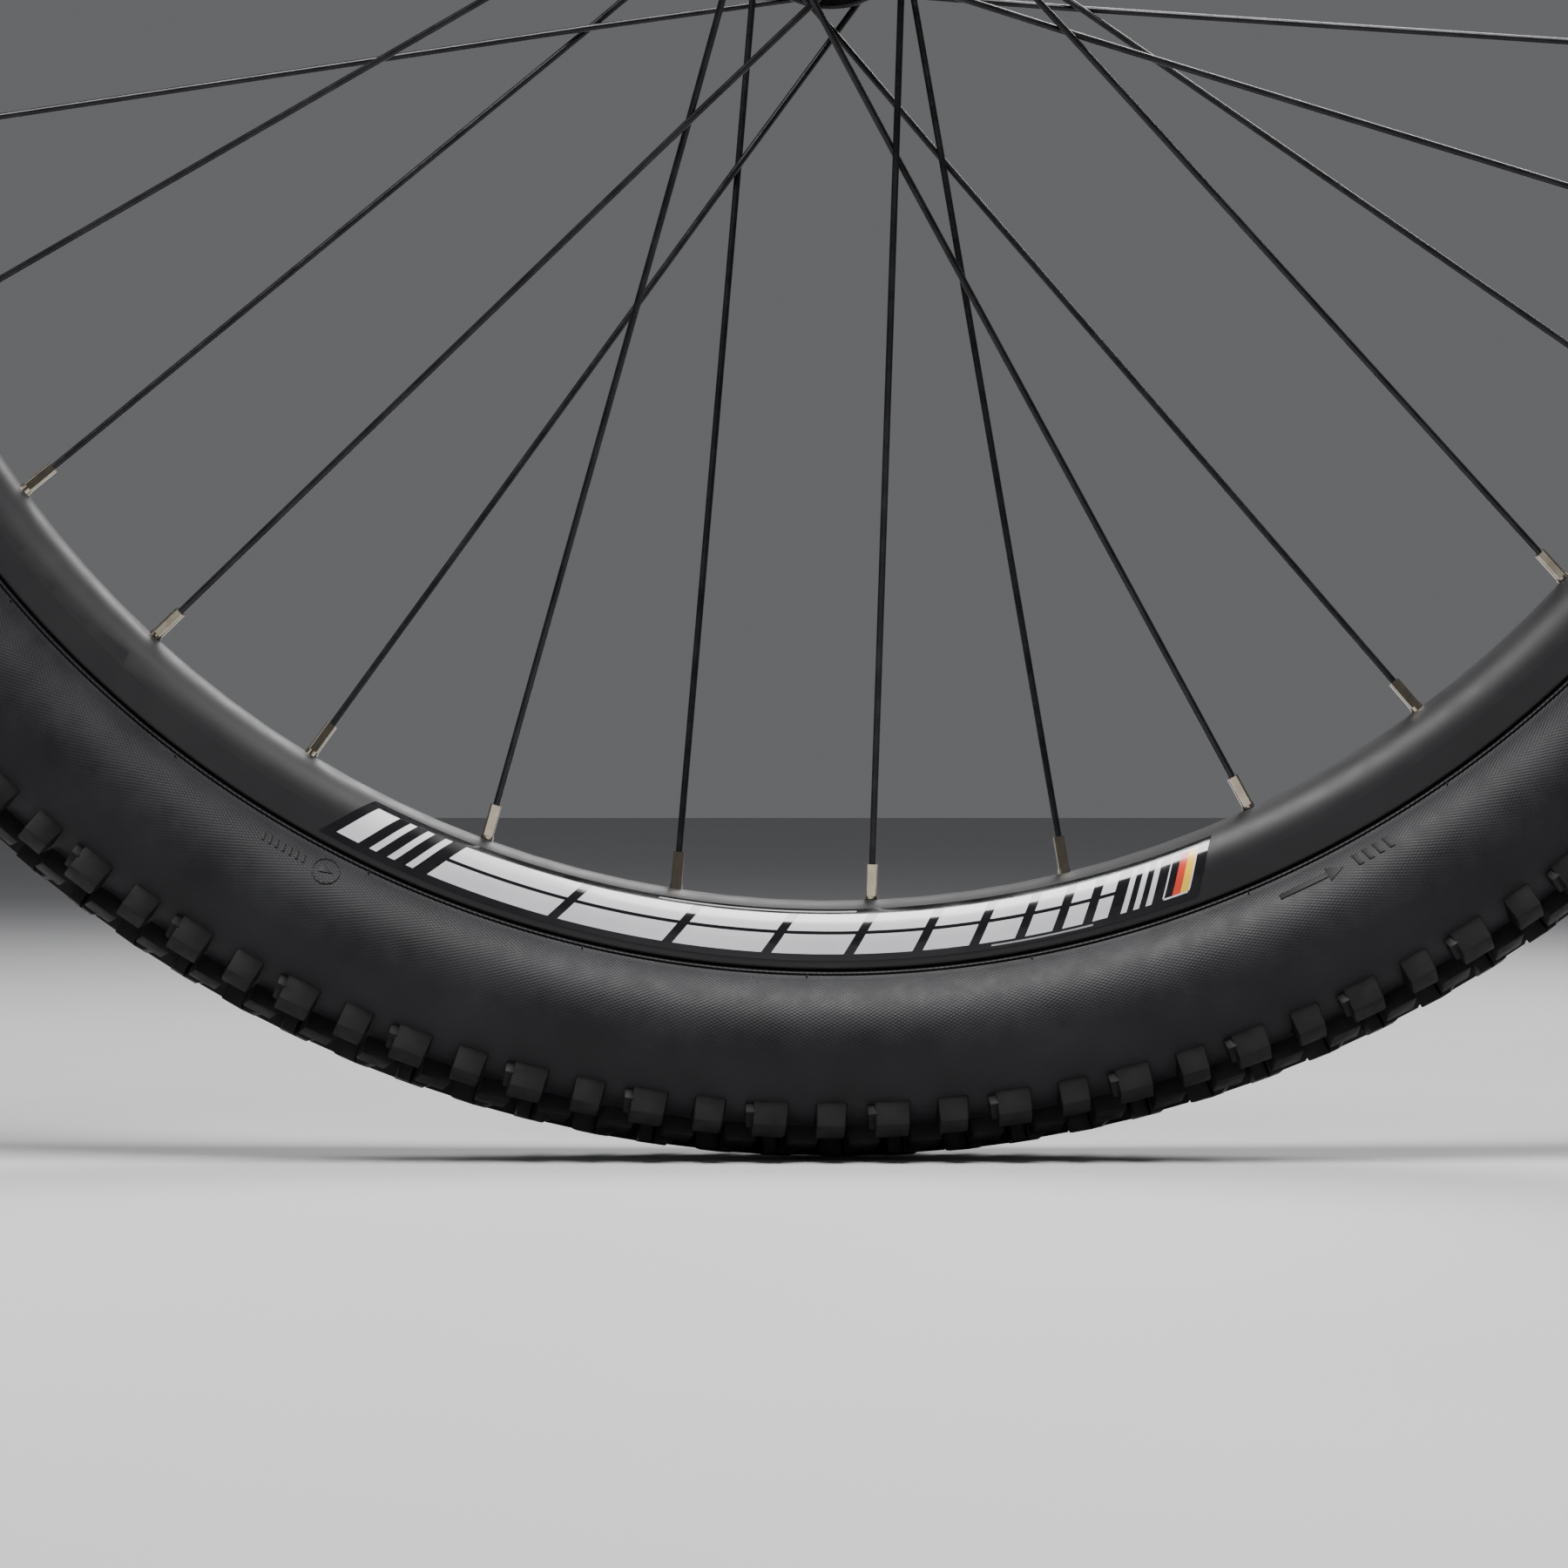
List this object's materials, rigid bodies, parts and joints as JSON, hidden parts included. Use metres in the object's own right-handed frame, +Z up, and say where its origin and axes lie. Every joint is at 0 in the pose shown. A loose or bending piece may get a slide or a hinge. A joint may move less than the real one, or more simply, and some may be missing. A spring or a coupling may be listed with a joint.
{
  "type": "spoked bicycle wheel",
  "caption": "Spoked mountain bicycle front wheel: knobbly tyre and tube on a double-walled rim, laced to a through-axle hub with sealed ball bearings.",
  "frame": {"origin": "the hub's centre on the spin axis, in the rim's middle plane", "axes": "+Y along the spin axis towards the brake side (left), +Z up, +X forwards as seen from the right side"},
  "size_m": [0.748, 0.11, 0.748],
  "materials": {
    "tyre": "matte moulded rubber with a fine cord texture in the sidewall",
    "bead_steel": "drawn wire",
    "tube_rubber": "dull butyl rubber",
    "valve_brass": "machined",
    "spring_steel": "drawn wire",
    "cap_plastic": "moulded",
    "rim_black": "black anodised, satin",
    "sleeve_alloy": "as extruded",
    "tape": "woven nylon strip",
    "decal": "gloss film with plain slanted blocks",
    "nipple_nickel": "nickel plated brass",
    "spoke_black": "black stainless wire",
    "hub_black": "black anodised, turned",
    "axle_alloy": "turned",
    "end_cap_black": "black anodised",
    "race_steel": "ground",
    "ball_steel": "polished",
    "cage_plastic": "moulded nylon",
    "seal_rubber": "moulded"
  },
  "bodies": {
    "axle": {"axle": "axle_alloy", "end_cap_left": "end_cap_black", "end_cap_right": "end_cap_black", "bearing_inner_race_left": "race_steel", "bearing_inner_race_right": "race_steel", "end_cap_o_rings": "seal_rubber"},
    "wheel": {"tyre": "tyre", "bead_wires": "bead_steel", "inner_tube": "tube_rubber", "valve_stem": "valve_brass", "valve_core": "valve_brass", "valve_spring": "spring_steel", "rim": "rim_black", "rim_joint_sleeve": "sleeve_alloy", "rim_tape": "tape", "rim_decals": "decal", "spoke_nipples": "nipple_nickel", "hub_shell": "hub_black", "bearing_outer_race_left": "race_steel", "bearing_outer_race_right": "race_steel", "bearing_seals": "seal_rubber", "hub_seals": "seal_rubber", "spoke_01": "spoke_black", "spoke_02": "spoke_black", "spoke_03": "spoke_black", "spoke_04": "spoke_black", "spoke_05": "spoke_black", "spoke_06": "spoke_black", "spoke_07": "spoke_black", "spoke_08": "spoke_black", "spoke_09": "spoke_black", "spoke_10": "spoke_black", "spoke_11": "spoke_black", "spoke_12": "spoke_black", "spoke_13": "spoke_black", "spoke_14": "spoke_black", "spoke_15": "spoke_black", "spoke_16": "spoke_black", "spoke_17": "spoke_black", "spoke_18": "spoke_black", "spoke_19": "spoke_black", "spoke_20": "spoke_black", "spoke_21": "spoke_black", "spoke_22": "spoke_black", "spoke_23": "spoke_black", "spoke_24": "spoke_black", "spoke_25": "spoke_black", "spoke_26": "spoke_black", "spoke_27": "spoke_black", "spoke_28": "spoke_black", "spoke_29": "spoke_black", "spoke_30": "spoke_black", "spoke_31": "spoke_black", "spoke_32": "spoke_black"},
    "cage_left": {"bearing_balls_left": "ball_steel", "bearing_cage_left": "cage_plastic"},
    "cage_right": {"bearing_balls_right": "ball_steel", "bearing_cage_right": "cage_plastic"},
    "valve_pin": {"valve_pin": "valve_brass"},
    "valve_cap": {"valve_cap": "cap_plastic"}
  },
  "joints": [
    {"name": "wheel_spin", "type": "hinge", "parent": "axle", "child": "wheel", "pos_m": [0, 0, 0], "axis": [0, 1, 0], "continuous": true},
    {"name": "cage_left_spin", "type": "hinge", "parent": "axle", "child": "cage_left", "pos_m": [0, 0.0385, 0], "axis": [0, 1, 0], "continuous": true},
    {"name": "cage_right_spin", "type": "hinge", "parent": "axle", "child": "cage_right", "pos_m": [0, -0.0415, 0], "axis": [0, 1, 0], "continuous": true},
    {"name": "valve_pin_press", "type": "slide", "parent": "wheel", "child": "valve_pin", "axis": [0.0576, 0, 0.9983], "range_m": [0, 0.0013], "stiffness_N_per_m": 900, "springref_m": -0.002, "deforming": ["valve_spring"]},
    {"name": "valve_cap_lift", "type": "slide", "parent": "wheel", "child": "valve_cap", "axis": [-0.0576, 0, -0.9983], "range_m": [0, 0.012]}
  ],
  "couplings": [
    {"joint": "cage_left_spin", "follows": "wheel_spin", "ratio": 0.55535},
    {"joint": "cage_right_spin", "follows": "wheel_spin", "ratio": 0.55535}
  ]
}
